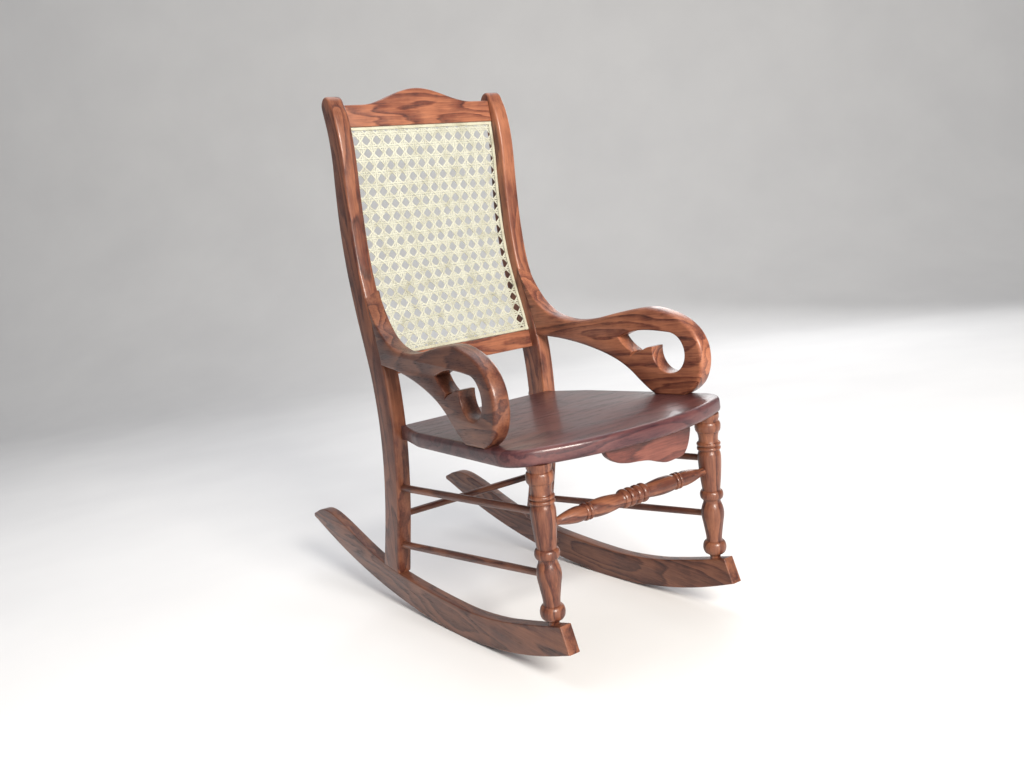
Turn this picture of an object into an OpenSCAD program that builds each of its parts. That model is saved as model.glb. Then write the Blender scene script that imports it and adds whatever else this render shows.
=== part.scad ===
// Child's open-arm rocking chair in oak, with a caned back panel.
// The chair faces -Y, up is +Z and X runs across it; its left is +X.
// It is drawn with the front legs upright, then leaned to its angle of rest.

/* [Seat] */
// Thickness of the seat board
seat_t = 20; // [12:1:25]
// Radius of the rounding along the seat's edges
seat_round = 6; // [3:0.5:8]
// Height of the seat's top at the front legs, above the feet of those legs
seat_z = 206; // [185:1:225]
// Backward slope of the seat
seat_slope = 4.3; // [0:0.1:8]

/* [Frame] */
// Thickness of the posts and of the arms
post_t = 22; // [16:1:24]
// Middle of a post from the middle of the chair
post_x = 129; // [120:1:134]
// Thickness of a rocker
rocker_t = 16; // [14:1:20]
// Middle of a rocker and of a front leg from the middle of the chair
rocker_x = 130; // [124:1:136]
// Radius of the rockers' running edge ahead of its lowest point
rocker_r = 760; // [740:5:780]
// Radius of the rockers' running edge behind that point
rocker_r2 = 1250; // [1200:10:1300]
// Outward turn of each arm from back to front
arm_splay = 4.8; // [3:0.1:6]
// Lean of the whole chair from upright front legs to its angle of rest
rest_lean = 3.9; // [0:0.05:6]

/* [Back] */
// Thickness of the cane webbing
cane_t = 1.6; // [1:0.1:3]
// Depth of the grooves that hold the cane
groove = 3.5; // [2:0.5:5]
// Thickness of the two rails of the back
rail_t = 16; // [12:1:18]
// Height of the crest rail's crown above its ends
crown = 21; // [0:1:30]

/* [Stretchers] */
// Radius of the front stretcher's tenons
fr_tenon = 5; // [4:0.5:6]
// Radius of the side stretchers at the front legs
side_r1 = 4.2; // [3:0.1:5]
// Radius of the side stretchers at the posts
side_r2 = 5; // [4:0.1:6]
// Radius of the rear stretcher
rear_r = 4.8; // [4:0.1:6]

/* [Hidden] */
$fn = 64;
oak = "#8a5230";
oak_dark = "#7a4426";
cane_col = "#e6e0c0";
peg_col = "#5a3420";
steel_col = "#9a9a96";
inner_x = post_x - post_t / 2;
rock_step = 1.25;
rock_low = [262, -86];
rock_c = rock_low + [0, rocker_r];
lift = rocker_r * cos(rock_step / 2)
    - rock_c[0] * sin(rest_lean) - rock_c[1] * cos(rest_lean);
// depths of the seat's nose and of the rockers' tips when the chair is at rest
pitch = seat_slope - rest_lean;
nose_y = (seat_round - 45) * cos(pitch) - (seat_t - seat_round) * sin(pitch)
    - seat_round - seat_z * sin(rest_lean);
tip_y = 658 * cos(rest_lean) + 18.5 * sin(rest_lean) + 4;

// a smooth curve through a list of points
function blend(a, b, c, d, t) = 0.5 * (2 * b + (c - a) * t
    + (2 * a - 5 * b + 4 * c - d) * t * t + (3 * b - a - 3 * c + d) * t * t * t);
function curve(p, n = 4) = concat([for (i = [0:len(p) - 2], k = [0:n - 1])
    blend(p[max(i - 1, 0)], p[i], p[i + 1], p[min(i + 2, len(p) - 1)], k / n)],
    [p[len(p) - 1]]);
function arc(c, r, a, b, n = 16) = [for (i = [0:n])
    c + r * [cos(a + (b - a) * i / n), sin(a + (b - a) * i / n)]];
function back(p) = [for (i = [len(p) - 1:-1:0]) p[i]];
function shift(p, d) = [for (q = p) q + d];
// half an ellipse of bead (h > 0) or cove (h < 0) on a turning, as [radius, z]
function bead(z0, z1, r, h, n = 8) = [for (i = [0:n])
    [r + h * sin(180 * i / n), (z0 + z1) / 2 - (z1 - z0) / 2 * cos(180 * i / n)]];

// edges of a back post from the rocker upwards, as [depth, height]
post_front = curve([[369, -60], [353, 0], [337, 65], [326, 130], [322, 185],
    [325, 245], [336, 298], [352, 345], [364, 390], [370, 440], [371.5, 490],
    [371, 540], [373.5, 572], [380, 600], [388, 616]], 5);
post_back = curve([[415, -60], [393, 8], [378, 65], [368, 120], [364, 180],
    [369, 240], [380, 288], [391.5, 332], [401, 378], [406.5, 420],
    [408.5, 462], [407, 505], [404.5, 545], [407, 578], [414, 606],
    [416, 616]], 5);
// middle of the cane from the lower rail up to the crest rail
cane_line = curve([[345.5, 267], [354.5, 300], [370, 345], [382.5, 390],
    [389, 440], [390.5, 490], [390, 540], [392, 570], [395, 591]], 5);
// top edge of a rocker, from its front end back
rocker_top = curve([[-22, 4], [20, -8], [60, -19], [100, -29], [140, -36],
    [180, -40.5], [230, -42.5], [280, -43], [330, -42.5], [380, -40],
    [430, -34], [470, -26], [510, -16], [550, -6], [585, 0.5], [612, 1],
    [634, -4], [648, -10], [658.3, -14.5]], 5);
// outline of an arm along its own length, from the post round its scroll
arm_top = curve([[359, 366], [348, 345], [331, 323.5], [311, 308],
    [290, 298.5], [265, 293], [238, 292], [205, 296], [165, 304.5],
    [130, 311], [103, 313.5], [78, 310], [54, 302.5], [34, 289.5],
    [22, 272.5], [18, 255], [19.5, 237.5], [26.5, 221], [38.5, 209], [52, 202]], 5);
arm_low = curve([[101, 199], [113, 204], [128, 214.5], [146, 228],
    [168, 239.5], [196, 249], [233, 257.5], [270, 263], [310, 266.5],
    [345, 268]], 5);

// stands the leaned chair on the floor with its middle over the origin
module rest() {
    translate([0, -(nose_y + tip_y) / 2, lift])
        rotate([rest_lean, 0, 0]) children();
}

// both hands of a thing drawn for the left, +X, side
module both() {
    for (s = [0, 1]) mirror([s, 0, 0]) children();
}

// a side outline given as [depth, height], t thick and centred on x
module side(x, t) {
    translate([x - t / 2, 0, 0]) rotate([90, 0, 90])
        linear_extrude(t) children();
}

// a rod from one point to another with a radius at each end
module rod(a, b, r1, r2) {
    v = b - a;
    l = norm(v);
    translate(a) rotate([0, acos(v[2] / l), atan2(v[1], v[0])])
        cylinder(h = l, r1 = r1, r2 = r2);
}

// ---- seat ----

// the slope of the seat, with z = 0 on its top
module on_seat() {
    translate([0, 0, seat_z]) rotate([-seat_slope, 0, 0]) children();
}

// rounded edge of the seat at radius r, and its section w wide inwards
function rim_edge(r) = concat(
    arc([r - seat_round, -seat_round], seat_round, 90, 0, 5),
    arc([r - seat_round, seat_round - seat_t], seat_round, 0, -90, 5));
function rim(r, w) = concat([[r - w, 0]], rim_edge(r), [[r - w, -seat_t]]);

module rim_bend(c, r, w, a, b) {
    translate([c[0], c[1], 0]) rotate([0, 0, a])
        rotate_extrude(angle = b - a) polygon(rim(r, w));
}

// runs from l1 to l2 past c, square to the direction a
module rim_run(c, a, l1, l2) {
    translate([c[0], c[1], 0]) rotate([90, 0, a]) translate([0, 0, -l2])
        linear_extrude(l2 - l1) children();
}

// bowed front, rounded corners and sides that taper towards the posts
module seat_blank() {
    difference() {
        on_seat() difference() {
            union() {
                rim_bend([0, 255], 300, 300, 242, 298);
                both() {
                    rim_bend([119.7, 29.8], 45, 45, -62, 14);
                    rim_run([119.7, 29.8], 4.5, 0, 325) polygon(rim(44.7, 165));
                }
            }
            both() rim_run([127, 241], 15, -20, 130) polygon(concat(
                [[21.5 - seat_round, 4]], rim_edge(21.5),
                [[21.5 - seat_round, -seat_t - 4], [60, -seat_t - 4], [60, 4]]));
        }
        behind_posts();
    }
}

module leg_tenon_top() {
    translate([rocker_x, 0, 150]) cylinder(h = 46, r = 8);
}

module seat_board() color(oak) rest() difference() {
    seat_blank();
    both() leg_tenon_top();
    screws_arm();
    screws_seat();
}

// scalloped board under the front of the seat, deeper towards the left
module front_apron() color(oak_dark) rest() difference() {
    translate([0, -20, 0]) rotate([90, 0, 0]) linear_extrude(10)
        polygon(concat([[-60, 200], [-60, 190]],
            curve([[-60, 190], [-56, 180], [-44, 171], [-28, 166.5], [-11, 164.5],
                [4, 162], [18, 157], [31, 153.5], [45, 154], [58, 156],
                [66, 165], [71, 180], [72, 190]], 4), [[72, 200]]));
    on_seat() translate([-100, -60, -seat_t]) cube([200, 100, 40]);
}

// ---- front legs ----

// turned profile as [radius, height]
function leg_profile() = concat([[0, -12], [6.6, -12], [6.6, 1], [7.4, 3]],
    bead(5, 22, 10, 4.6), [[9.8, 24]],
    curve([[9.8, 25], [10.4, 31], [12.4, 44], [14.3, 57], [13.4, 66],
        [11, 73], [10.8, 76]], 4),
    bead(77, 89, 11.2, 3.4),
    curve([[11.2, 90.5], [12.2, 98], [13.2, 108], [14.2, 122], [14.4, 134],
        [13, 139.5]], 4),
    bead(141, 146, 12.6, 2.2), bead(146.6, 151.6, 12.6, 2.2),
    curve([[12.2, 152.5], [12, 156], [12.6, 161], [13.4, 163.5]], 3),
    bead(164.5, 178, 13.4, 2.6), [[13.4, 179.5], [14.6, 182.5], [14.6, 200],
    [0, 200]]);

module foot_tenon() {
    translate([rocker_x, 0, -20]) cylinder(h = 28, r = 5);
}

module leg_front() color(oak) rest() difference() {
    union() {
        difference() {
            translate([rocker_x, 0, 0]) rotate_extrude() polygon(leg_profile());
            on_seat() translate([rocker_x - 30, -30, -seat_t]) cube([60, 60, 60]);
            rocker_shape(24);
        }
        leg_tenon_top();
        foot_tenon();
    }
    tenons_front();
    rod_upper();
    rod_lower();
}

module leg_front_left() leg_front();
module leg_front_right() mirror([1, 0, 0]) leg_front();

// ---- back ----

module post_shape() {
    side(post_x, post_t) polygon(concat(post_front,
        arc([402.3, 614], 14, 160, 14, 10), back(post_back)));
}

// everything behind the front edges of the posts
module behind_posts() {
    side(0, 420) polygon(concat(post_front, [[480, 616], [480, -60]]));
}

module cane_shape(half) {
    side(0, 2 * half) polygon(concat(shift(cane_line, [-cane_t / 2, 0]),
        back(shift(cane_line, [cane_t / 2, 0]))));
}

// stub tenons of the rails, let into the posts
module rail_tenons() {
    both() for (p = [[349, 262, 18], [397, 603, 18]])
        translate([inner_x - 5, p[0] - 4, p[1] - p[2] / 2])
            cube([14, 8, p[2]]);
}

module post() color(oak) rest() difference() {
    post_shape();
    rocker_shape(60);
    cane_shape(inner_x + groove);
    rail_tenons();
    rod_upper();
    rod_lower();
    rod_rear();
    dowels_rocker();
    dowels_arm();
    screws_seat();
}

module post_left() post();
module post_right() mirror([1, 0, 0]) post();

module crest_rail() color(oak) rest() difference() {
    union() {
        intersection() {
            side(0, 2 * inner_x) polygon([[389, 586], [397.5, 640],
                [397.5 + rail_t, 640], [389 + rail_t, 586]]);
            translate([0, 440, 0]) rotate([90, 0, 0]) linear_extrude(80)
                polygon(concat([[-120, 580]], curve([for (x = [-120:15:120])
                    [x, 616 + crown * pow(cos(min(abs(x), 90)), 2)]], 3),
                    [[120, 580]]));
        }
        rail_tenons_at(1);
    }
    cane_shape(inner_x + groove);
}

module lower_back_rail() color(oak) rest() difference() {
    union() {
        side(0, 2 * inner_x) polygon([[339.5, 250], [345.5, 275],
            [345.5 + rail_t, 275], [339.5 + rail_t, 250]]);
        rail_tenons_at(0);
    }
    cane_shape(inner_x + groove);
}

module rail_tenons_at(upper) {
    intersection() {
        rail_tenons();
        translate([-200, 300, upper ? 500 : 200]) cube([400, 200, 200]);
    }
}

module cane_panel() color(cane_col) rest() cane_shape(inner_x + groove);

// split-cane strips that cover the edge of the webbing
module cane_binding() color(cane_col) rest() difference() {
    intersection() {
        side(0, 2 * inner_x) polygon(concat(
            shift(cane_line, [-cane_t / 2 - 2, 0]),
            back(shift(cane_line, [-cane_t / 2, 0]))));
        translate([-200, 300, 275]) cube([400, 200, 311]);
    }
    translate([-inner_x + 5, 300, 280]) cube([2 * inner_x - 10, 200, 301]);
}

// ---- arms ----

module turn_arm() {
    translate([post_x, 345, 0]) rotate([0, 0, arm_splay])
        translate([-post_x, -345, 0]) children();
}

module arm_cut() {
    polygon(concat(arc([73, 256], 27, 90, 370, 36),
        curve([[99.7, 262], [109, 261], [120, 256.5], [131, 252.5]], 4),
        [[141, 246.5], [136.5, 253.5]],
        curve([[136.5, 253.5], [146, 258.5], [154, 264.5], [161, 272]], 4),
        curve([[161, 272], [150, 276.5], [135, 281], [118, 283.5], [97, 284],
            [73, 283]], 4)));
}

module arm() color(oak) rest() difference() {
    turn_arm() side(post_x, post_t) difference() {
        polygon(concat([[372, 366]], arm_top, [[58, 190], [95, 190]],
            arm_low, [[372, 268]]));
        arm_cut();
    }
    behind_posts();
    on_seat() translate([90, 0, -60]) cube([120, 240, 60]);
    dowels_arm();
    screws_arm();
}

module arm_left() arm();
module arm_right() mirror([1, 0, 0]) arm();

// ---- rockers ----

// the running edge is drawn with one step level where the chair rests on it
module rocker_shape(t) {
    mid = 270 - rest_lean;
    side(rocker_x, t) polygon(concat([[-34.5, -26.1]],
        [for (k = [-14.5:1:2.5]) rock_c
            + rocker_r * [cos(mid + k * rock_step), sin(mid + k * rock_step)]],
        arc(rock_low + [0, rocker_r2], rocker_r2, 270.3, 288, 18),
        arc([658, -18.5], 4, -65, 85, 6), back(rocker_top)));
}

module rocker() color(oak) rest() difference() {
    rocker_shape(rocker_t);
    foot_tenon();
    dowels_rocker();
}

module rocker_left() rocker();
module rocker_right() mirror([1, 0, 0]) rocker();

// ---- stretchers ----

// half of the front stretcher's turned profile as [radius, distance]
function spindle() = concat([[0, 0], [9.2, 0]],
    bead(1.5, 9.5, 9.4, 2.2), bead(10.5, 18.5, 9.4, 2.2),
    curve([[8.6, 20], [8.6, 24], [9.8, 34], [10.6, 46], [10.2, 58],
        [9.2, 64]], 4),
    bead(65.5, 70, 8.8, 1.6), bead(71, 75.5, 8.8, 1.6),
    curve([[8.8, 77], [9.4, 84], [8.4, 94], [6.4, 104], [fr_tenon, 110]], 4),
    [[fr_tenon, 123], [0, 123]]);

module tenons_front() {
    both() translate([105, 0, 115]) rotate([0, 90, 0])
        cylinder(h = 18, r = fr_tenon);
}

module stretcher_front() color(oak) rest()
    both() translate([0, 0, 115]) rotate([0, 90, 0])
        rotate_extrude() polygon(spindle());

module rod_rear() {
    translate([-inner_x - 9, 353, 48]) rotate([0, 90, 0])
        cylinder(h = 2 * inner_x + 18, r = rear_r);
}

module stretcher_rear() color(oak) rest() rod_rear();

module rod_upper() {
    rod([rocker_x, 7, 129], [post_x + 1, 342, 91], side_r1, side_r2);
}

module rod_lower() {
    rod([rocker_x, 7, 56], [post_x + 1, 364, 2], side_r1, side_r2);
}

module stretcher_upper_left() color(oak) rest() rod_upper();
module stretcher_upper_right() color(oak) rest() mirror([1, 0, 0]) rod_upper();
module stretcher_lower_left() color(oak) rest() rod_lower();
module stretcher_lower_right() color(oak) rest() mirror([1, 0, 0]) rod_lower();

// ---- fixings ----

// one dowel on each side from the rocker up into the foot of the post
module dowels_rocker() {
    both() rod([rocker_x, 393, -62], [rocker_x, 378, -16], 4, 4);
}

// one dowel on each side from the post forward into the arm
module dowels_arm() {
    both() rod([post_x, 322, 286], [post_x, 352, 291], 4, 4);
}

// a countersunk wood screw up through the seat into each arm
module screws_arm() {
    both() translate([post_x - 2 + 265 * sin(arm_splay), 81, 0]) on_seat_down() {
        cylinder(h = 36, r = 2.2);
        cylinder(h = 3, r1 = 4.6, r2 = 2.2);
    }
}

module on_seat_down() {
    translate([0, 0, seat_z - 81 * tan(seat_slope) - seat_t / cos(seat_slope)])
        rotate([-seat_slope, 0, 0]) children();
}

// a countersunk wood screw forward through each post into the seat
module screws_seat() {
    both() translate([post_x - 6, 364.6, 173.5]) rotate([90, 0, 0]) {
        cylinder(h = 68, r = 2.2);
        cylinder(h = 3, r1 = 4.6, r2 = 2.2);
    }
}

module rocker_dowels() color(peg_col) rest() dowels_rocker();
module arm_dowels() color(peg_col) rest() dowels_arm();
module arm_screws() color(steel_col) rest() screws_arm();
module seat_screws() color(steel_col) rest() screws_seat();

seat_board();
front_apron();
leg_front_left();
leg_front_right();
post_left();
post_right();
crest_rail();
lower_back_rail();
cane_panel();
cane_binding();
arm_left();
arm_right();
rocker_left();
rocker_right();
stretcher_front();
stretcher_rear();
stretcher_upper_left();
stretcher_upper_right();
stretcher_lower_left();
stretcher_lower_right();
rocker_dowels();
arm_dowels();
arm_screws();
seat_screws();
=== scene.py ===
"""Looks of a small oak rocking chair with a caned back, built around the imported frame."""

import math

import bmesh
import bpy
import numpy as np
from mathutils import Matrix, Vector
from mathutils.geometry import tessellate_polygon


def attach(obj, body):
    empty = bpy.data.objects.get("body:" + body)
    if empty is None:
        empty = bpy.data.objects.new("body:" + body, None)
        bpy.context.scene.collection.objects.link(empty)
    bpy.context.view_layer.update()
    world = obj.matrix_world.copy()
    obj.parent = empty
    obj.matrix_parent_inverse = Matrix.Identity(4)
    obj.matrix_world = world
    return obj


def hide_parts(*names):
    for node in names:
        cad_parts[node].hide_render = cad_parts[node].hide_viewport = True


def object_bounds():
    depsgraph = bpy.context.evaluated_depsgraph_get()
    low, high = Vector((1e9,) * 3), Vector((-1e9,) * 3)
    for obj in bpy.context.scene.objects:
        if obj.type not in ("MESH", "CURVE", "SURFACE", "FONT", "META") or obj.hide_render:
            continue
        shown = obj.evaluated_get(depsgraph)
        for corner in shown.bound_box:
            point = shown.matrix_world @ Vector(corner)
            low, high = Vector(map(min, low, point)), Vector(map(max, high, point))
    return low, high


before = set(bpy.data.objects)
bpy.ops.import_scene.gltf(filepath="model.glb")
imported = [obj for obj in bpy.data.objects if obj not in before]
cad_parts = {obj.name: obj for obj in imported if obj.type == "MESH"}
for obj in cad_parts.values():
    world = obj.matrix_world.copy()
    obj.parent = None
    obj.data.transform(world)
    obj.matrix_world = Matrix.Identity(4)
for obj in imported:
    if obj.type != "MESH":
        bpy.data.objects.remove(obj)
bpy.context.view_layer.update()

# ---------------------------------------------------------------- shared sizes
# The outlines below follow the CAD's, in millimetres, in the frame it is drawn in: front legs
# upright, y = 0 on their axes, z = 0 at their feet. Ends that sink into another piece differ a
# little. rest() leans and lifts them.
LEAN = math.radians(3.9)
SEAT_SLOPE = math.radians(4.3)
SEAT_Z, SEAT_T, SEAT_ROUND = 206.0, 20.0, 6.0
SEAT_NOSE = 45.0
POST_X, POST_T = 129.0, 22.0
INNER_X = POST_X - POST_T / 2
ROCKER_X, ROCKER_T = 130.0, 16.0
ROCKER_R, ROCKER_R2 = 760.0, 1250.0
ROCK_LOW = np.array([262.0, -86.0])
ROCK_STEP = 1.25
ARM_SPLAY = math.radians(4.8)
CROWN = 21.0
RAIL_T = 16.0
APRON_BACK, APRON_FRONT = -20.0, -30.0

rock_c = ROCK_LOW + [0, ROCKER_R]
LIFT = (ROCKER_R * math.cos(math.radians(ROCK_STEP / 2))
        - rock_c[0] * math.sin(LEAN) - rock_c[1] * math.cos(LEAN))
pitch = SEAT_SLOPE - LEAN
nose_y = ((SEAT_ROUND - SEAT_NOSE) * math.cos(pitch) - (SEAT_T - SEAT_ROUND) * math.sin(pitch)
          - SEAT_ROUND - SEAT_Z * math.sin(LEAN))
tip_y = 658 * math.cos(LEAN) + 18.5 * math.sin(LEAN) + 4
MID = (nose_y + tip_y) / 2


def rest(points):
    """Design millimetres to the row frame's metres."""
    p = np.asarray(points, float).reshape(-1, 3)
    c, s = math.cos(LEAN), math.sin(LEAN)
    return np.stack([p[:, 0], p[:, 1] * c - p[:, 2] * s - MID,
                     p[:, 1] * s + p[:, 2] * c + LIFT], 1) * 0.001


def turn(vector):
    """A design direction in the row frame."""
    c, s = math.cos(LEAN), math.sin(LEAN)
    v = np.asarray(vector, float)
    return np.array([v[0], v[1] * c - v[2] * s, v[1] * s + v[2] * c])


# ---------------------------------------------------------------- outlines
def curve(points, n=8):
    p = [np.array(q, float) for q in points]
    out = []
    for i in range(len(p) - 1):
        a, b, c, d = p[max(i - 1, 0)], p[i], p[i + 1], p[min(i + 2, len(p) - 1)]
        for k in range(n):
            t = k / n
            out.append(0.5 * (2 * b + (c - a) * t + (2 * a - 5 * b + 4 * c - d) * t * t
                              + (3 * b - a - 3 * c + d) * t ** 3))
    return out + [p[-1]]


def arc(c, r, a, b, n=16):
    return [np.array([c[0] + r * math.cos(math.radians(a + (b - a) * i / n)),
                      c[1] + r * math.sin(math.radians(a + (b - a) * i / n))])
            for i in range(n + 1)]


def bead(z0, z1, r, h, n=12):
    return [(r + h * math.sin(math.pi * i / n),
             (z0 + z1) / 2 - (z1 - z0) / 2 * math.cos(math.pi * i / n)) for i in range(n + 1)]


POST_FRONT = curve([[369, -60], [353, 0], [337, 65], [326, 130], [322, 185], [325, 245],
                    [336, 298], [352, 345], [364, 390], [370, 440], [371.5, 490], [371, 540],
                    [373.5, 572], [380, 600], [388, 616]])
POST_BACK = curve([[415, -60], [393, 8], [378, 65], [368, 120], [364, 180], [369, 240],
                   [380, 288], [391.5, 332], [401, 378], [406.5, 420], [408.5, 462],
                   [407, 505], [404.5, 545], [407, 578], [414, 606], [416, 616]])
CANE_LINE = curve([[345.5, 267], [354.5, 300], [370, 345], [382.5, 390], [389, 440],
                   [390.5, 490], [390, 540], [392, 570], [395, 591]])
ROCKER_TOP = curve([[-22, 4], [20, -8], [60, -19], [100, -29], [140, -36], [180, -40.5],
                    [230, -42.5], [280, -43], [330, -42.5], [380, -40], [430, -34], [470, -26],
                    [510, -16], [550, -6], [585, 0.5], [612, 1], [634, -4], [648, -10],
                    [658.3, -14.5]])
ARM_TOP = curve([[359, 366], [348, 345], [331, 323.5], [311, 308], [290, 298.5], [265, 293],
                 [238, 292], [205, 296], [165, 304.5], [130, 311], [103, 313.5], [78, 310],
                 [54, 302.5], [34, 289.5], [22, 272.5], [18, 255], [19.5, 237.5], [26.5, 221],
                 [38.5, 209], [54, 200.2]])
ARM_LOW = curve([[99.5, 196.2], [113, 204], [128, 214.5], [146, 228], [168, 239.5], [196, 249],
                 [233, 257.5], [270, 263], [310, 266.5]])


def at_height(line, z):
    """Depth of an upright outline at height z."""
    zs = [p[1] for p in line]
    return float(np.interp(z, zs, [p[0] for p in line]))


def clean(points, least=0.25):
    """Drops points that lie on top of the one before."""
    out = []
    for p in points:
        if not out or np.hypot(*(np.asarray(p, float) - out[-1])) > least:
            out.append(np.asarray(p, float))
    if np.hypot(*(out[0] - out[-1])) <= least:
        out.pop()
    return np.array(out)


def area(p):
    x, y = p[:, 0], p[:, 1]
    return 0.5 * float(np.sum(x * np.roll(y, -1) - np.roll(x, -1) * y))


def inward(p):
    """Unit-offset vectors towards the material, which lies on the left of the outline."""
    e = np.roll(p, -1, 0) - p
    e /= np.linalg.norm(e, axis=1)[:, None]
    n = np.stack([-e[:, 1], e[:, 0]], 1)
    m = n + np.roll(n, 1, 0)
    m /= np.maximum(np.linalg.norm(m, axis=1), 1e-6)[:, None]
    k = np.clip(np.sum(m * n, 1), 0.7, 1)
    return m / k[:, None]


# ---------------------------------------------------------------- mesh makers
def new_mesh(name, verts, faces, material, crease=34):
    me = bpy.data.meshes.new(name)
    me.from_pydata([tuple(v) for v in verts], [], [tuple(f) for f in faces])
    me.validate()
    me.update()
    for poly in me.polygons:
        poly.use_smooth = True
    me.set_sharp_from_angle(angle=math.radians(crease))
    ob = bpy.data.objects.new(name, me)
    bpy.context.scene.collection.objects.link(ob)
    me.materials.append(material)
    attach(ob, "root")
    return ob


def slab(name, outline, t0, t1, place, material, r=1.8, holes=(), steps=4, radii=None):
    """A sawn board: an outline given thickness t0..t1, with its edges eased to radius r."""
    loops = []
    outline = clean(outline)
    if area(outline) < 0:
        outline = outline[::-1]
        if radii is not None:
            radii = radii[::-1]
    loops.append((outline, np.full(len(outline), float(r)) if radii is None else radii))
    for hole, hr in holes:
        hole = clean(hole)
        if area(hole) > 0:
            hole = hole[::-1]
        loops.append((hole, np.full(len(hole), float(hr))))
    angles = [math.pi / 2 * k / steps for k in range(steps + 1)]
    verts, faces, caps = [], [], {0: [], 1: []}
    for pts, rad in loops:
        n = len(pts)
        inn = inward(pts)
        rings = []
        for side in (0, 1):
            for a in (reversed(angles) if side == 0 else angles):
                uv = pts + inn * (rad * (1 - math.cos(a)))[:, None]
                depth = rad * (1 - math.sin(a))
                w = t0 + depth if side == 0 else t1 - depth
                base = len(verts)
                verts += [(uv[i, 0], uv[i, 1], w[i]) for i in range(n)]
                rings.append(base)
        for a, b in zip(rings, rings[1:]):
            faces += [(a + i, a + (i + 1) % n, b + (i + 1) % n, b + i) for i in range(n)]
        caps[0].append((rings[0], n))
        caps[1].append((rings[-1], n))
    for side in (0, 1):
        index, polys = [], []
        for base, n in caps[side]:
            polys.append([Vector((verts[base + i][0], verts[base + i][1], 0)) for i in range(n)])
            index += list(range(base, base + n))
        for t in tessellate_polygon(polys):
            a, b, c = (index[i] for i in t)
            pa, pb, pc = (np.array(verts[i][:2]) for i in (a, b, c))
            ccw = np.cross(pb - pa, pc - pa) > 0
            faces.append((a, b, c) if ccw == (side == 1) else (a, c, b))
    world = rest([place(*v) for v in verts])
    ob = new_mesh(name, world, faces, material)
    fix_normals(ob)
    return ob


def fix_normals(ob):
    """Turns every face outwards."""
    bm = bmesh.new()
    bm.from_mesh(ob.data)
    bmesh.ops.recalc_face_normals(bm, faces=bm.faces)
    bm.to_mesh(ob.data)
    bm.free()
    ob.data.update()


def lathe(name, profile, place, material, segments=72, crease=40):
    """A turning: profile of (radius, distance), both ends closed."""
    prof = np.array(profile, float)
    verts, faces = [], []
    for r, z in prof:
        for k in range(segments):
            a = 2 * math.pi * k / segments
            verts.append((max(r, 0.0) * math.cos(a), max(r, 0.0) * math.sin(a), z))
    for i in range(len(prof) - 1):
        for k in range(segments):
            a, b = i * segments + k, i * segments + (k + 1) % segments
            faces.append((a, b, b + segments, a + segments))
    faces.append(tuple(reversed(range(segments))))
    last = (len(prof) - 1) * segments
    faces.append(tuple(last + k for k in range(segments)))
    ob = new_mesh(name, rest([place(*v) for v in verts]), faces, material, crease)
    fix_normals(ob)
    return ob


def rod_place(a, b):
    """Placement of a turning whose axis runs from a to b."""
    a, b = np.array(a, float), np.array(b, float)
    w = (b - a) / np.linalg.norm(b - a)
    u = np.cross([0, 0, 1.0], w)
    if np.linalg.norm(u) < 1e-6:
        u = np.array([1.0, 0, 0])
    u /= np.linalg.norm(u)
    v = np.cross(w, u)
    return lambda x, y, z: a + u * x + v * y + w * z


# ---------------------------------------------------------------- materials
def nodes_of(name):
    m = bpy.data.materials.new(name)
    m.use_nodes = True
    nt = m.node_tree
    nt.nodes.clear()
    out = nt.nodes.new("ShaderNodeOutputMaterial")
    bsdf = nt.nodes.new("ShaderNodeBsdfPrincipled")
    nt.links.new(bsdf.outputs[0], out.inputs[0])
    return m, nt, bsdf


class Net:
    """Small helper that adds nodes and links them."""

    def __init__(self, nt):
        self.nt = nt

    def add(self, kind, **props):
        n = self.nt.nodes.new("ShaderNode" + kind)
        inputs = props.pop("inputs", {})
        for k, v in props.items():
            setattr(n, k, v)
        for k, v in inputs.items():
            if isinstance(v, bpy.types.NodeSocket):
                self.nt.links.new(v, n.inputs[k])
            else:
                n.inputs[k].default_value = v
        return n

    def math(self, op, a, b=0.0, clamp=False):
        return self.add("Math", operation=op, use_clamp=clamp, inputs={0: a, 1: b}).outputs[0]

    def ramp(self, fac, stops):
        n = self.add("ValToRGB", inputs={0: fac})
        cr = n.color_ramp
        while len(cr.elements) < len(stops):
            cr.elements.new(0.5)
        for e, (pos, col) in zip(cr.elements, stops):
            e.position = pos
            e.color = (*col, 1) if len(col) == 3 else (col[0],) * 3 + (1,)
        return n.outputs[0]

    def mix(self, fac, a, b):
        n = self.nt.nodes.new("ShaderNodeMix")
        n.data_type = "RGBA"
        for k, v in ((0, fac), (6, a), (7, b)):
            if isinstance(v, bpy.types.NodeSocket):
                self.nt.links.new(v, n.inputs[k])
            else:
                n.inputs[k].default_value = (*v, 1) if isinstance(v, tuple) and len(v) == 3 else v
        return n.outputs[2]

    def noise(self, vector, scale, detail, rough):
        n = self.add("TexNoise", inputs={"Vector": vector, "Scale": scale, "Detail": detail,
                                         "Roughness": rough})
        return n.outputs[0]


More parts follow.
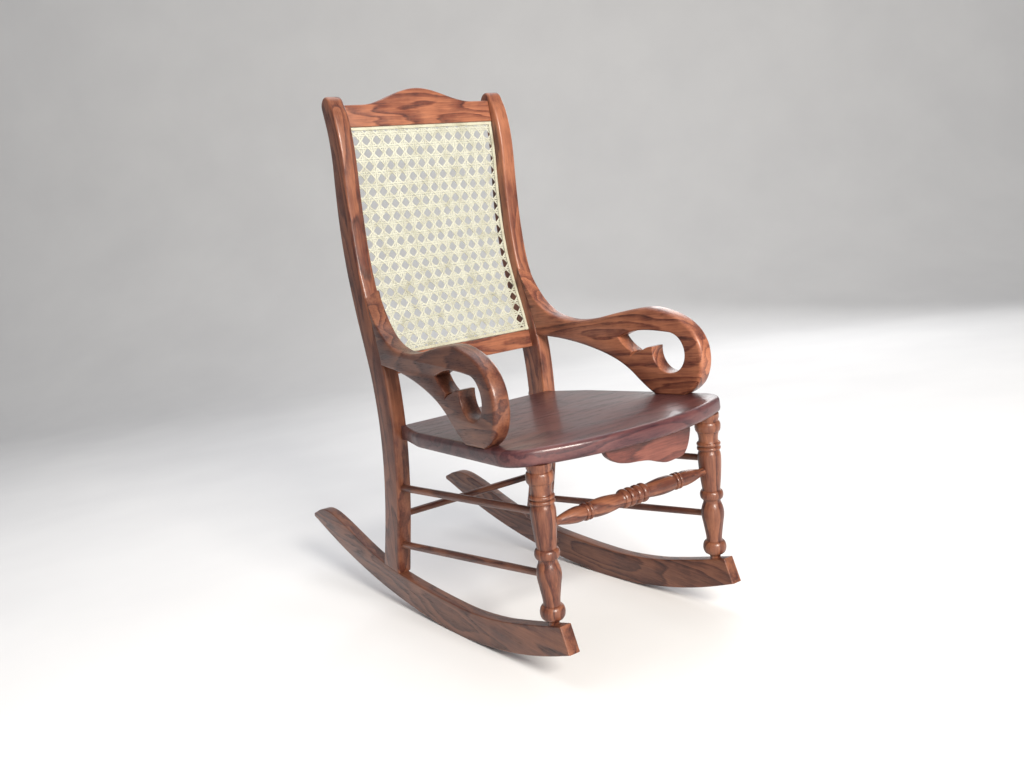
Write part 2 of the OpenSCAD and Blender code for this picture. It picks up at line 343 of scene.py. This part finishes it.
def oak(name, axis, seed=0.0, light=(0.34, 0.130, 0.068), mid=(0.125, 0.037, 0.023),
        dark=(0.026, 0.009, 0.009), figure=1.0, rough=0.33, coat=0.12, coat_rough=0.14,
        painted_light_and_shade=1.0):
    """Brown-stained, varnished open-grain oak with its grain along axis, in the row frame. Its
    three colours are scaled by one factor, which paints light and shade into the oak.
    """
    m, nt, bsdf = nodes_of(name)
    net = Net(nt)
    # painted light and shade: the factor scales all three colours, so one oak comes in lit and
    # shaded copies
    light, mid, dark = (tuple(painted_light_and_shade * c for c in colour) for colour in (light, mid, dark))
    z = Vector(turn(axis)).normalized()
    turned = z.to_track_quat("Z", "Y").inverted().to_euler()
    coord = net.add("TexCoord").outputs["Object"]
    first = net.add("Mapping", vector_type="POINT",
                    inputs={"Vector": coord, "Rotation": tuple(turned),
                            "Location": (seed * 0.37, seed * 0.61, seed * 0.83)}).outputs[0]
    along = net.add("Mapping", inputs={"Vector": first, "Scale": (1, 1, 0.16)}).outputs[0]
    streak = net.add("Mapping", inputs={"Vector": first, "Scale": (1, 1, 0.055)}).outputs[0]
    # growth rings: contour lines of a slow field, drawn out along the grain
    slow = net.noise(along, 16.0, 2.0, 0.45)
    wobble = net.noise(along, 90.0, 3.0, 0.55)
    field = net.math("ADD", net.math("MULTIPLY", slow, 13.0 * figure),
                     net.math("MULTIPLY", wobble, 0.9))
    saw = net.math("FRACT", field)
    ring = net.ramp(saw, [(0.0, (0.05,)), (0.10, (0.35,)), (0.55, (0.85,)), (0.86, (1.0,)),
                          (1.0, (0.05,))])
    # fibres and pores
    fibre = net.noise(streak, 420.0, 4.0, 0.6)
    pores = net.noise(streak, 1300.0, 2.0, 0.5)
    pore = net.ramp(pores, [(0.0, (0.0,)), (0.36, (0.0,)), (0.45, (1.0,)), (1.0, (1.0,))])
    blotch = net.noise(first, 22.0, 3.0, 0.5)
    shade = net.math("ADD", net.math("MULTIPLY", ring, 0.40),
                     net.math("MULTIPLY", fibre, 0.62))
    shade = net.math("ADD", shade, net.math("MULTIPLY", net.math("SUBTRACT", blotch, 0.5), 0.55))
    col = net.ramp(shade, [(0.16, dark), (0.46, mid), (0.86, light)])
    porous = net.math("MULTIPLY", net.math("SUBTRACT", 1.0, pore),
                      net.math("SUBTRACT", 1.15, ring), True)
    col = net.mix(net.math("MULTIPLY", porous, 0.75), col, dark)
    # painted highlight: high spots along the edges are mixed a little towards the light colour,
    # standing in for the sheen on the eased edges
    edge = net.ramp(net.add("NewGeometry").outputs["Pointiness"],
                    [(0.50, (0.0,)), (0.56, (1.0,))])
    painted_edge_highlight = net.math("MULTIPLY", edge, net.ramp(net.noise(first, 60.0, 3.0, 0.6),
                                              [(0.42, (0.0,)), (0.62, (0.55,))]))
    col = net.mix(painted_edge_highlight, col, light)
    nt.links.new(col, bsdf.inputs["Base Color"])
    r = net.math("ADD", net.math("MULTIPLY", porous, 0.25),
                 net.math("ADD", rough - 0.06, net.math("MULTIPLY", blotch, 0.14)))
    nt.links.new(r, bsdf.inputs["Roughness"])
    bsdf.inputs["Coat Weight"].default_value = coat
    bsdf.inputs["Coat Roughness"].default_value = coat_rough
    bsdf.inputs["Specular IOR Level"].default_value = 0.36
    height = net.math("SUBTRACT", net.math("MULTIPLY", fibre, 0.35),
                      net.math("MULTIPLY", porous, 0.9))
    bump = net.add("Bump", inputs={"Strength": 0.22, "Distance": 0.0006, "Height": height})
    nt.links.new(bump.outputs[0], bsdf.inputs["Normal"])
    return m


def cane_material(name, base, shade):
    m, nt, bsdf = nodes_of(name)
    net = Net(nt)
    coord = net.add("TexCoord").outputs["Object"]
    big = net.noise(coord, 55.0, 3.0, 0.6)
    fine = net.noise(coord, 900.0, 3.0, 0.6)
    t = net.math("ADD", net.math("MULTIPLY", big, 0.7), net.math("MULTIPLY", fine, 0.5))
    col = net.ramp(t, [(0.35, shade), (0.62, base), (0.85, tuple(min(1, c * 1.08) for c in base))])
    nt.links.new(col, bsdf.inputs["Base Color"])
    nt.links.new(net.math("ADD", 0.34, net.math("MULTIPLY", fine, 0.22)),
                 bsdf.inputs["Roughness"])
    bsdf.inputs["Specular IOR Level"].default_value = 0.45
    bump = net.add("Bump", inputs={"Strength": 0.25, "Distance": 0.0003, "Height": fine})
    nt.links.new(bump.outputs[0], bsdf.inputs["Normal"])
    return m


def steel_material():
    m, nt, bsdf = nodes_of("screw_steel")
    net = Net(nt)
    coord = net.add("TexCoord").outputs["Object"]
    spots = net.noise(coord, 700.0, 4.0, 0.6)
    nt.links.new(net.ramp(spots, [(0.3, (0.30, 0.28, 0.26)), (0.7, (0.52, 0.51, 0.49))]),
                 bsdf.inputs["Base Color"])
    nt.links.new(net.math("ADD", 0.3, net.math("MULTIPLY", spots, 0.25)),
                 bsdf.inputs["Roughness"])
    bsdf.inputs["Metallic"].default_value = 1.0
    bump = net.add("Bump", inputs={"Strength": 0.15, "Distance": 0.0002, "Height": spots})
    nt.links.new(bump.outputs[0], bsdf.inputs["Normal"])
    return m


X, Z = (1, 0, 0), (0, 0, 1)

# ---------------------------------------------------------------- seat and apron
seat_oak = oak("seat_oak", X, 1.3, light=(0.120, 0.045, 0.042), mid=(0.056, 0.019, 0.023),
               dark=(0.018, 0.007, 0.010), figure=0.7, rough=0.30, coat=0.14, coat_rough=0.05)


def on_seat(x, y, z):
    c, s = math.cos(SEAT_SLOPE), math.sin(SEAT_SLOPE)
    return (x, y * c + z * s, -y * s + z * c + SEAT_Z)


def seat_outline():
    side = math.radians(4.5)
    half = arc([0, 255], 300, 270, 298, 20) + arc([119.7, 29.8], 45, -62, 4.5, 18)
    n = np.array([math.cos(side), math.sin(side)])
    t = np.array([-math.sin(side), math.cos(side)])
    start = np.array([119.7, 29.8]) + 44.8 * n
    chamfer = math.radians(15)
    n2 = np.array([math.cos(chamfer), math.sin(chamfer)])
    t2 = np.array([-math.sin(chamfer), math.cos(chamfer)])
    corner = np.array([127, 241]) + 21.5 * n2
    # where the two straight sides meet
    k = np.linalg.solve(np.array([t, -t2]).T, corner - start)
    meet = start + t * k[0]
    half += [start + t * k[0] * f for f in (0.2, 0.4, 0.6, 0.8, 0.97)]
    half += [meet + t2 * 4]
    back = 324.3
    run = (back - meet[1]) / t2[1]
    end = meet + t2 * run
    half += [meet + t2 * f * run for f in (0.3, 0.6, 0.9)] + [end]
    right = [np.array(p) for p in half]
    left = [np.array([-p[0], p[1]]) for p in reversed(right[1:])]
    rear = [np.array([end[0] * (1 - 2 * f), back]) for f in np.linspace(0, 1, 21)[1:-1]]
    return right + rear + left


outline = clean(seat_outline())
seat_r = np.where(outline[:, 1] > 323.5, 0.8, SEAT_ROUND)
seat_r = np.where((outline[:, 1] > 318) & (outline[:, 1] <= 323.5), 3.0, seat_r)
seat = slab("seat_board_wood", outline, -SEAT_T, 0.0, on_seat, seat_oak,
            steps=7, radii=seat_r)
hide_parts("seat_board")

apron_line = [[-60, 191], [-60, 190]] + curve(
    [[-60, 190], [-56, 180], [-44, 171], [-28, 166.5], [-11, 164.5], [4, 162], [18, 157],
     [31, 153.5], [45, 154], [58, 156], [66, 165], [71, 180], [72, 190]]) + [[72, 191]]
apron = slab("front_apron_wood", apron_line, APRON_FRONT, APRON_BACK, lambda u, v, w: (u, w, v),
             oak("apron_oak", X, 4.1, light=(0.19, 0.060, 0.040), mid=(0.085, 0.020, 0.015),
                 dark=(0.025, 0.007, 0.006), figure=0.8, rough=0.36, coat=0.2,
                 coat_rough=0.2), r=1.6)
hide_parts("front_apron")

# ---------------------------------------------------------------- posts, rails
top = arc([402.3, 614], 14, 160, 14, 14)


def foot_z(y):
    """Height of a rocker's top edge at depth y."""
    return float(np.interp(y, [p[0] for p in ROCKER_TOP], [p[1] for p in ROCKER_TOP]))


post_line = ([p for p in POST_FRONT if p[1] > foot_z(p[0]) + 2] + top
             + [p for p in reversed(POST_BACK) if p[1] > foot_z(p[0]) + 2])
foot_front = at_height(POST_FRONT, -41.5)
foot_back = at_height(POST_BACK, -36.5)
post_line = ([np.array([foot_front, foot_z(foot_front) - 0.5])] + post_line
             + [np.array([foot_back, foot_z(foot_back) - 0.5])])
# painted shade: the near (right) post's oak is scaled to 0.75 and the far (left) post's to 0.95
for side, s in (("left", 1), ("right", -1)):
    ob = slab(f"post_{side}_wood", post_line, POST_X - POST_T / 2, POST_X + POST_T / 2,
              lambda u, v, w, s=s: (s * w, u, v),
              oak(f"post_oak_{side}", (0, 0.1, 1), 7.7 + s, figure=0.8,
                  painted_light_and_shade=0.85 + 0.1 * s), r=3.2)
    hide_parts(f"post_{side}")

xs = np.linspace(-INNER_X, INNER_X, 49)
crest_line = [[INNER_X, 586], *[[x, 616 + CROWN * math.cos(math.radians(min(abs(x), 90))) ** 2]
                                for x in xs[::-1]], [-INNER_X, 586]]
slope = (397.5 - 389) / (640 - 586)
crest = slab("crest_rail_wood", crest_line, 0, RAIL_T,
             lambda u, v, w: (u, 389 + (v - 586) * slope + w, v),
             oak("crest_oak", X, 2.2, figure=1.1), r=2.2)
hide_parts("crest_rail")
low_slope = (345.5 - 339.5) / 25
low = slab("lower_back_rail_wood",
           [[INNER_X, 250], [INNER_X, 275], [-INNER_X, 275], [-INNER_X, 250]], 0, RAIL_T,
           lambda u, v, w: (u, 339.5 + (v - 250) * low_slope + w, v),
           oak("rail_oak", X, 5.9, figure=0.9), r=1.8)
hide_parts("lower_back_rail")

# ---------------------------------------------------------------- arms
arm_front = [np.array([at_height(POST_FRONT, z) + 0.6, z]) for z in np.linspace(268, 364, 24)]
arm_line = ARM_TOP + ARM_LOW + arm_front
cut = (arc([73, 256], 27, 90, 370, 48)
       + curve([[99.7, 262], [109, 261], [120, 256.5], [131, 252.5]], 5)
       + [np.array([141, 246.5]), np.array([136.5, 253.5])]
       + curve([[136.5, 253.5], [146, 258.5], [154, 264.5], [161, 272]], 5)
       + curve([[161, 272], [150, 276.5], [135, 281], [118, 283.5], [97, 284],
                [73, 283]], 6))


def arm_place(s):
    c, n = math.cos(ARM_SPLAY), math.sin(ARM_SPLAY)

    def place(u, v, w):
        dx, dy = w - POST_X, u - 345
        return (s * (POST_X + dx * c - dy * n), 345 + dx * n + dy * c, v)
    return place


arm_line = clean(arm_line)
arm_r = np.interp(arm_line[:, 0], [285, 340], [5.0, 1.0])
# painted light and shade: the far (left) arm's oak is scaled up to 1.1, the near (right) arm's
# down to 0.6
for side, s in (("left", 1), ("right", -1)):
    ob = slab(f"arm_{side}_wood", arm_line, POST_X - POST_T / 2, POST_X + POST_T / 2,
              arm_place(s), oak(f"arm_oak_{side}", (0.08 * -s, 1, -0.1), 11.3 + 2.1 * s,
                                figure=0.85, painted_light_and_shade=0.85 + 0.25 * s),
              holes=[(cut, 1.6)], radii=arm_r)
    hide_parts(f"arm_{side}")

# ---------------------------------------------------------------- rockers
mid = 270 - math.degrees(LEAN)
run = [rock_c + ROCKER_R * np.array([math.cos(math.radians(mid + k * ROCK_STEP)),
                                     math.sin(math.radians(mid + k * ROCK_STEP))])
       for k in np.arange(-14.5, 2.6, 1)]
rocker_line = ([np.array([-34.5, -26.1])] + run
               + arc(ROCK_LOW + [0, ROCKER_R2], ROCKER_R2, 270.3, 288, 18)
               + arc([658, -18.5], 4, -65, 85, 8) + list(reversed(ROCKER_TOP)))
# painted shade: both rockers' oak is scaled down to 0.66
for side, s in (("left", 1), ("right", -1)):
    ob = slab(f"rocker_{side}_wood", rocker_line, ROCKER_X - ROCKER_T / 2,
              ROCKER_X + ROCKER_T / 2, lambda u, v, w, s=s: (s * w, u, v),
              oak(f"rocker_oak_{side}", (0, 1, 0.0), 17.9 + 1.7 * s, figure=0.9, painted_light_and_shade=0.66),
              r=1.6)
    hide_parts(f"rocker_{side}")

# ---------------------------------------------------------------- turnings
leg_prof = ([(6.6, -10), (6.6, 1), (7.4, 3)] + bead(5, 22, 10, 4.6) + [(9.8, 24)]
            + [tuple(p) for p in curve([[9.8, 25], [10.4, 31], [12.4, 44], [14.3, 57],
                                        [13.4, 66], [11, 73], [10.8, 76]], 5)]
            + bead(77, 89, 11.2, 3.4)
            + [tuple(p) for p in curve([[11.2, 90.5], [12.2, 98], [13.2, 108], [14.2, 122],
                                        [14.4, 134], [13, 139.5]], 5)]
            + bead(141, 146, 12.6, 2.2) + bead(146.6, 151.6, 12.6, 2.2)
            + [tuple(p) for p in curve([[12.2, 152.5], [12, 156], [12.6, 161],
                                        [13.4, 163.5]], 4)]
            + bead(164.5, 178, 13.4, 2.6) + [(13.4, 179.5), (14.6, 182.5), (14.6, 187.2)])
# painted shade: both front legs' oak is scaled down to 0.68
for side, s in (("left", 1), ("right", -1)):
    ob = lathe(f"leg_front_{side}_wood", leg_prof,
               lambda x, y, z, s=s: (s * (ROCKER_X + x), y, z),
               oak(f"leg_oak_{side}", Z, 23.1 + s, figure=0.9, painted_light_and_shade=0.68))
    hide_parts(f"leg_front_{side}")

half = ([(9.2, 0)] + bead(1.5, 9.5, 9.4, 2.2) + bead(10.5, 18.5, 9.4, 2.2)
        + [tuple(p) for p in curve([[8.6, 20], [8.6, 24], [9.8, 34], [10.6, 46], [10.2, 58],
                                    [9.2, 64]], 5)]
        + bead(65.5, 70, 8.8, 1.6) + bead(71, 75.5, 8.8, 1.6)
        + [tuple(p) for p in curve([[8.8, 77], [9.4, 84], [8.4, 94], [6.4, 104],
                                    [5, 110]], 5)] + [(5, 121)])
spindle = [(r, -z) for r, z in reversed(half[1:])] + half
# painted shade: the front stretcher's oak is scaled down to 0.68
ob = lathe("stretcher_front_wood", spindle, lambda x, y, z: (z, x, 115 + y),
           oak("spindle_oak", X, 29.3, figure=0.9, painted_light_and_shade=0.68))
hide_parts("stretcher_front")

rods = [("stretcher_rear", (-127, 353, 48), (127, 353, 48), 4.8, 4.8)]
for side, s in (("left", 1), ("right", -1)):
    rods += [(f"stretcher_upper_{side}", (s * 130, 7, 129), (s * 130, 342, 91), 4.2, 5.0),
             (f"stretcher_lower_{side}", (s * 130, 7, 56), (s * 130, 364, 2), 4.2, 5.0)]
# painted shade: the stretcher rods' oak is scaled down to 0.7
rod_oaks = {"x": oak("rod_oak_x", X, 31.7, figure=0.6, painted_light_and_shade=0.7),
            "y": oak("rod_oak_y", (0, 1, -0.13), 33.1, figure=0.6, painted_light_and_shade=0.7)}
for name, a, b, r1, r2 in rods:
    length = float(np.linalg.norm(np.subtract(b, a)))
    swell = [(r1 + (r2 - r1) * t + 0.25 * math.sin(math.pi * t), length * t)
             for t in np.linspace(0, 1, 25)]
    ob = lathe(f"{name}_wood", swell, rod_place(a, b),
               rod_oaks["x" if name == "stretcher_rear" else "y"],
               segments=40)
    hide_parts(name)

# ---------------------------------------------------------------- cane
cane_mat = cane_material("cane", (0.43, 0.43, 0.355), (0.24, 0.23, 0.165))
trim_mat = cane_material("cane_trim", (0.43, 0.42, 0.33), (0.24, 0.22, 0.15))

line = np.array(CANE_LINE)
lengths = np.concatenate([[0], np.cumsum(np.hypot(*np.diff(line, axis=0).T))])
Z_LOW, Z_HIGH = 275.0, 586.0
s_low = float(np.interp(Z_LOW, line[:, 1], lengths))
s_high = float(np.interp(Z_HIGH, line[:, 1], lengths))
tang = np.gradient(line, lengths, axis=0)
tang /= np.linalg.norm(tang, axis=1)[:, None]


def on_cane(x, s, h):
    """A point of the webbing: x across, s up along the bowed line, h proud to the front."""
    s = np.asarray(s, float)
    y, z = np.interp(s, lengths, line[:, 0]), np.interp(s, lengths, line[:, 1])
    ty, tz = np.interp(s, lengths, tang[:, 0]), np.interp(s, lengths, tang[:, 1])
    return np.stack([np.broadcast_to(x, s.shape), y - tz * h, z + ty * h], -1)


SECTION = np.array([[-0.5, -0.5], [-0.42, 0.25], [0.0, 0.5], [0.42, 0.25], [0.5, -0.5]])


def ribbon(verts, faces, x, s, h, width, thick):
    """One strand of cane along the points (x, s), h above the middle of the webbing."""
    x, s, h = (np.asarray(v, float) for v in (x, s, h))
    dx, ds = np.gradient(x), np.gradient(s)
    norm = np.hypot(dx, ds)
    nx, ns = -ds / norm, dx / norm
    base, n, k = len(verts), len(x), len(SECTION)
    rings = [on_cane(x + nx * a * width, s + ns * a * width, h + b * thick)
             for a, b in SECTION]
    stacked = np.stack(rings, 1).reshape(-1, 3)
    verts.extend(stacked.tolist())
    for i in range(n - 1):
        for j in range(k):
            a, b = base + i * k + j, base + i * k + (j + 1) % k
            faces.append((a, b, b + k, a + k))
    faces.append(tuple(base + j for j in reversed(range(k))))
    faces.append(tuple(base + (n - 1) * k + j for j in range(k)))


HALF_W = INNER_X - 0.2
span = s_high - s_low
COLS, ROWS = 14, 18
px, ps = 2 * (HALF_W - 2) / COLS, (span - 2) / ROWS
GAP = 1.45
STRAND_W, STRAND_T, SLANT_W = 2.3, 0.55, 2.4
WEAVE = 0.32
SLANT_WEAVE = 0.78
rng = np.random.default_rng(7)
verts, faces = [], []
s0 = (s_low + s_high) / 2


# uprights, in pairs that straddle each column
ns = ROWS * 8 + 1
for c in range(-COLS // 2, COLS // 2 + 1):
    for k in (-1, 1):
        x = c * px + k * GAP
        if abs(x) > HALF_W - 1:
            continue
        s = np.linspace(s_low + 0.5, s_high - 0.5, ns)
        row = (s - s0) / ps + 0.5
        near = 0.5 + 0.5 * np.cos(2 * math.pi * row)
        h = WEAVE * near * k * np.where(np.round(row).astype(int) % 2 == 0, 1, -1)
        drift = rng.normal(0, 0.10)
        ribbon(verts, faces, np.full(ns, x + drift), s, h, STRAND_W + rng.normal(0, 0.07),
               STRAND_T)
# level strands, in pairs that straddle each row
nx = COLS * 8 + 1
for r in range(-ROWS // 2, ROWS // 2 + 1):
    for k in (-1, 1):
        s = s0 + (r - 0.5) * ps + k * GAP
        if s < s_low + 1 or s > s_high - 1:
            continue
        x = np.linspace(-HALF_W, HALF_W, nx)
        col = x / px
        near = 0.5 + 0.5 * np.cos(2 * math.pi * col)
        h = -WEAVE * near * k * np.where(np.round(col).astype(int) % 2 == 0, 1, -1)
        drift = rng.normal(0, 0.10)
        ribbon(verts, faces, x, np.full(nx, s + drift), h, STRAND_W + rng.normal(0, 0.07),
               STRAND_T)
# slanted strands pass the middle of each side of a hole, over one way and under the other
for way in (-1, 1):
    for q in range(-(COLS + ROWS), COLS + ROWS + 1):
        t = np.arange(-(COLS + ROWS), COLS + ROWS + 0.01, 0.25)
        col, row = (t + q) / 2, way * (t - q) / 2
        x, s = col * px, s0 + row * ps
        keep = (np.abs(x) <= HALF_W) & (s >= s_low + 0.5) & (s <= s_high - 0.5)
        if keep.sum() < 4:
            continue
        col, row, x, s = col[keep], row[keep], x[keep], s[keep]
        up = 0.5 + 0.5 * np.cos(2 * math.pi * col)
        h = way * SLANT_WEAVE * (2 * up - 1)
        ribbon(verts, faces, x, s, h, SLANT_W, STRAND_T)
weave = new_mesh("cane_weave", rest(verts), faces, cane_mat, crease=50)
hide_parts("cane_panel")

# binder strips laid over the edge of the webbing
verts, faces = [], []
for x in (-INNER_X + 2.6, INNER_X - 2.6):
    s = np.linspace(s_low, s_high, 80)
    ribbon(verts, faces, np.full(80, x), s, np.full(80, 1.7), 4.6, 1.3)
for s in (s_low + 2.6, s_high - 2.6):
    x = np.linspace(-INNER_X + 0.3, INNER_X - 0.3, 60)
    ribbon(verts, faces, x, np.full(60, s), np.full(60, 1.75), 4.6, 1.3)
binder = new_mesh("cane_binder", rest(verts), faces, trim_mat, crease=50)
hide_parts("cane_binding")

# ---------------------------------------------------------------- hidden fixings
steel = steel_material()
peg = oak("peg_wood", Z, 41.0, light=(0.52, 0.36, 0.22), mid=(0.36, 0.23, 0.13),
          dark=(0.16, 0.09, 0.05), figure=0.5, rough=0.5, coat=0.0)
for node, material in (("arm_screws", steel), ("seat_screws", steel),
                       ("rocker_dowels", peg), ("arm_dowels", peg)):
    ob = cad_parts[node]
    ob.data.materials.clear()
    ob.data.materials.append(material)

# ---------------------------------------------------------------- stage, light, camera
lo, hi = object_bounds()
centre = (lo + hi) / 2


def backdrop():
    """A pale floor that sweeps up behind the chair."""
    bend = [(-6.0, 0.0), (2.6, 0.0)] + [
        (2.6 + 1.6 * math.sin(math.radians(a)), 1.6 - 1.6 * math.cos(math.radians(a)))
        for a in range(6, 91, 6)] + [(4.2, 5.0)]
    verts, faces = [], []
    for d, z in bend:
        for w in (-7.0, 7.0):
            verts.append((w * 0.8163 + d * 0.5776, -w * 0.5776 + d * 0.8163, z))
    for i in range(len(bend) - 1):
        faces.append((2 * i, 2 * i + 1, 2 * i + 3, 2 * i + 2))
    me = bpy.data.meshes.new("backdrop")
    me.from_pydata(verts, [], faces)
    for poly in me.polygons:
        poly.use_smooth = True
    ob = bpy.data.objects.new("backdrop", me)
    bpy.context.scene.collection.objects.link(ob)
    m, nt, bsdf = nodes_of("backdrop_paper")
    net = Net(nt)
    grey = net.noise(net.add("TexCoord").outputs["Object"], 3.0, 3.0, 0.5)
    nt.links.new(net.ramp(grey, [(0.3, (0.79, 0.79, 0.795)), (0.7, (0.83, 0.83, 0.832))]),
                 bsdf.inputs["Base Color"])
    bsdf.inputs["Roughness"].default_value = 0.85
    bsdf.inputs["Specular IOR Level"].default_value = 0.15
    me.materials.append(m)


def area_light(name, at, target, size, energy, colour=(1, 1, 1)):
    data = bpy.data.lights.new(name, "AREA")
    data.shape = "RECTANGLE"
    data.size, data.size_y = size
    data.energy = energy
    data.color = colour
    ob = bpy.data.objects.new(name, data)
    ob.location = at
    ob.rotation_mode = "QUATERNION"
    ob.rotation_quaternion = (Vector(target) - Vector(at)).to_track_quat("-Z", "Y")
    bpy.context.scene.collection.objects.link(ob)


backdrop()
area_light("key", (-0.42, -2.7, 1.35), centre, (0.9, 0.9), 145, (1.0, 0.95, 0.87))
area_light("top", (0.2, 0.6, 2.6), centre, (2.4, 2.4), 34, (0.97, 0.97, 1.0))
area_light("rim", (2.4, 1.4, 1.5), centre, (1.2, 1.6), 22)
area_light("fill", (-2.4, -1.2, 1.0), centre, (1.6, 1.6), 2.0, (0.95, 0.92, 1.0))

world = bpy.data.worlds.new("studio")
bpy.context.scene.world = world
world.use_nodes = True
background = world.node_tree.nodes["Background"]
background.inputs[0].default_value = (0.86, 0.87, 0.90, 1)
background.inputs[1].default_value = 0.32
bpy.context.scene.view_settings.view_transform = "Standard"


def place_camera():
    """The three-quarter view: its place, turn and roll, in the design frame."""
    az, el, roll = (math.radians(v) for v in (-33.798, 10.968, -5.770))
    forward = np.array([-math.sin(az) * math.cos(el), math.cos(az) * math.cos(el),
                        -math.sin(el)])
    right = np.array([math.cos(az), math.sin(az), 0.0])
    up = np.cross(right, forward)
    r = math.cos(roll) * right + math.sin(roll) * up
    u = -math.sin(roll) * right + math.cos(roll) * up
    at = rest([[-703.16, -820.44, 470.57]])[0]
    data = bpy.data.cameras.new("camera")
    data.sensor_width = 36
    data.lens = 952.23 / 1024 * 36
    data.clip_start, data.clip_end = 0.05, 60
    cam = bpy.data.objects.new("camera", data)
    r, u, f = turn(r), turn(u), turn(forward)
    m = Matrix.Identity(4)
    for i in range(3):
        m[i][0], m[i][1], m[i][2], m[i][3] = r[i], u[i], -f[i], at[i]
    cam.matrix_world = m
    bpy.context.scene.collection.objects.link(cam)
    bpy.context.scene.camera = cam


place_camera()

bpy.context.view_layer.update()
